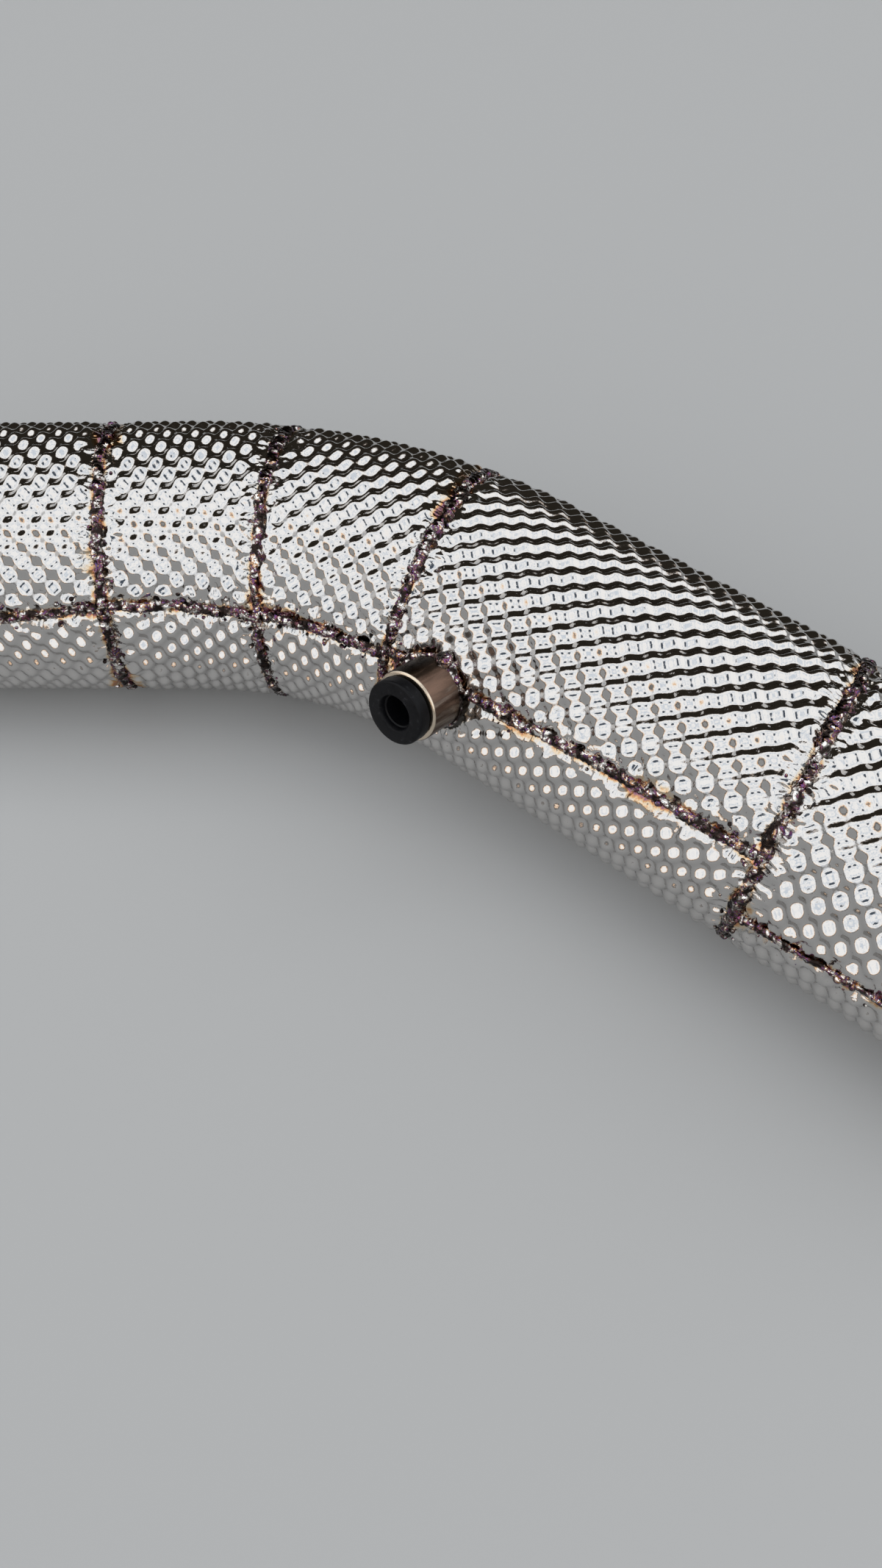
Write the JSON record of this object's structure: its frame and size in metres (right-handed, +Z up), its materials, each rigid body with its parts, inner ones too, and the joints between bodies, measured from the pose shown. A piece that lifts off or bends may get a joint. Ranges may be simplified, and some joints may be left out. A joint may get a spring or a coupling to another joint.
{
  "type": "heat-shielded exhaust mid pipe",
  "caption": "Bent exhaust pipe wrapped in insulation under a welded shield of embossed bright foil, with a plugged sensor bung and bare slip ends.",
  "frame": {"origin": "centre of the inlet opening, on the tube's centreline; the pipe lies flat and its lowest line is one shield radius, 52.6 mm, below it", "axes": "+X down the inlet leg into the pipe, +Z up, the outlet leg turns towards -Y in the horizontal plane"},
  "size_m": [0.5538, 0.2992, 0.1052],
  "materials": {
    "shield_foil": "bright embossed stainless foil, heat-tinted at the welds",
    "tube_steel": "drawn stainless tube",
    "weld_bead": "rough, dark weld bead with brown, blue and gold heat tint",
    "bung_steel": "turned, fine lathe lines, bright chamfer",
    "plug_rubber": "matte black",
    "insulation": "ceramic fibre blanket"
  },
  "bodies": {
    "root": {"bend_tube": "tube_steel", "bung_root_weld": "weld_bead", "bung_weld": "weld_bead", "inlet_butt_weld": "weld_bead", "inlet_cone": "tube_steel", "inlet_cone_weld": "weld_bead", "inlet_tube": "tube_steel", "insulation_1": "insulation", "insulation_2": "insulation", "insulation_3": "insulation", "insulation_4": "insulation", "insulation_5": "insulation", "outlet_butt_weld": "weld_bead", "outlet_cone": "tube_steel", "outlet_cone_weld": "weld_bead", "outlet_tube": "tube_steel", "ring_weld_1": "weld_bead", "ring_weld_2": "weld_bead", "ring_weld_3": "weld_bead", "ring_weld_4": "weld_bead", "ring_weld_5": "weld_bead", "ring_weld_6": "weld_bead", "seam_weld_1_inner": "weld_bead", "seam_weld_1_outer": "weld_bead", "seam_weld_2_inner": "weld_bead", "seam_weld_2_outer": "weld_bead", "seam_weld_3_inner": "weld_bead", "seam_weld_3_outer": "weld_bead", "seam_weld_4_inner": "weld_bead", "seam_weld_4_outer": "weld_bead", "seam_weld_5_inner": "weld_bead", "seam_weld_5_outer": "weld_bead", "sensor_bung": "bung_steel", "sensor_plug": "plug_rubber", "shield_1_lower": "shield_foil", "shield_1_upper": "shield_foil", "shield_2_lower": "shield_foil", "shield_2_upper": "shield_foil", "shield_3_lower": "shield_foil", "shield_3_upper": "shield_foil", "shield_4_lower": "shield_foil", "shield_4_upper": "shield_foil", "shield_5_lower": "shield_foil", "shield_5_upper": "shield_foil"}
  },
  "joints": []
}
